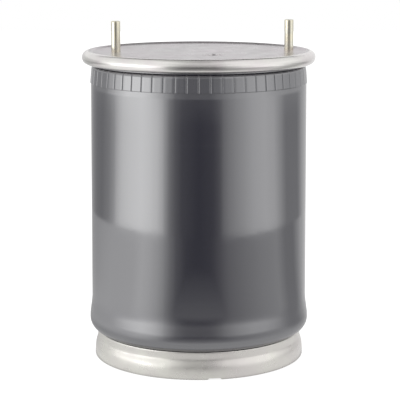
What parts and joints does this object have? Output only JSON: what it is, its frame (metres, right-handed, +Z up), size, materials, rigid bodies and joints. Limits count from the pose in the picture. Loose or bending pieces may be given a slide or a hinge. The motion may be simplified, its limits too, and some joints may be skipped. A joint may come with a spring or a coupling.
{
  "type": "air bellows actuator",
  "caption": "Rolling-lobe air bellows: rubber sleeve crimped to a rim-rolled upper plate with studs, folded over a flared steel piston.",
  "frame": {"origin": "centre of the base plate's underside, on the floor that the actuator stands on", "axes": "+Z up along the stroke axis; +X to the right of the picture, roughly along the line of the two studs; the camera looks along +Y"},
  "size_m": [0.3022, 0.3022, 0.4395],
  "materials": {
    "plated_plate": "satin zinc plate",
    "zinc_studs": "yellowish bright zinc",
    "piston_steel": "bright satin zinc plate",
    "inner_steel": "dark phosphated",
    "bead_wire": "bronze-coated wire",
    "sleeve_rubber": "smooth moulded, semi-gloss",
    "buffer_rubber": "matt moulded",
    "seal_rubber": "matt"
  },
  "bodies": {
    "piston": {"piston_shell": "piston_steel", "piston_base_plate": "piston_steel", "base_nut_1": "inner_steel", "base_nut_2": "inner_steel", "base_nut_3": "inner_steel", "base_nut_4": "inner_steel", "bead_clamp_plate": "inner_steel", "lower_bead_core": "bead_wire", "bump_stop": "buffer_rubber", "bump_stop_insert": "inner_steel", "bolt_seal_ring": "seal_rubber", "centre_bolt": "zinc_studs", "centre_washer": "zinc_studs", "centre_nut": "zinc_studs", "bellows": "sleeve_rubber"},
    "top": {"upper_bead_plate": "plated_plate", "mounting_stud_left": "zinc_studs", "mounting_stud_right": "zinc_studs", "air_port_boss": "plated_plate", "upper_bead_core": "bead_wire"}
  },
  "joints": [
    {"name": "stroke", "type": "slide", "parent": "piston", "child": "top", "axis": [0, 0, 1], "range_m": [-0.14, 0.1], "stiffness_N_per_m": 8000, "springref_m": 0.0024, "deforming": ["bellows"]}
  ]
}
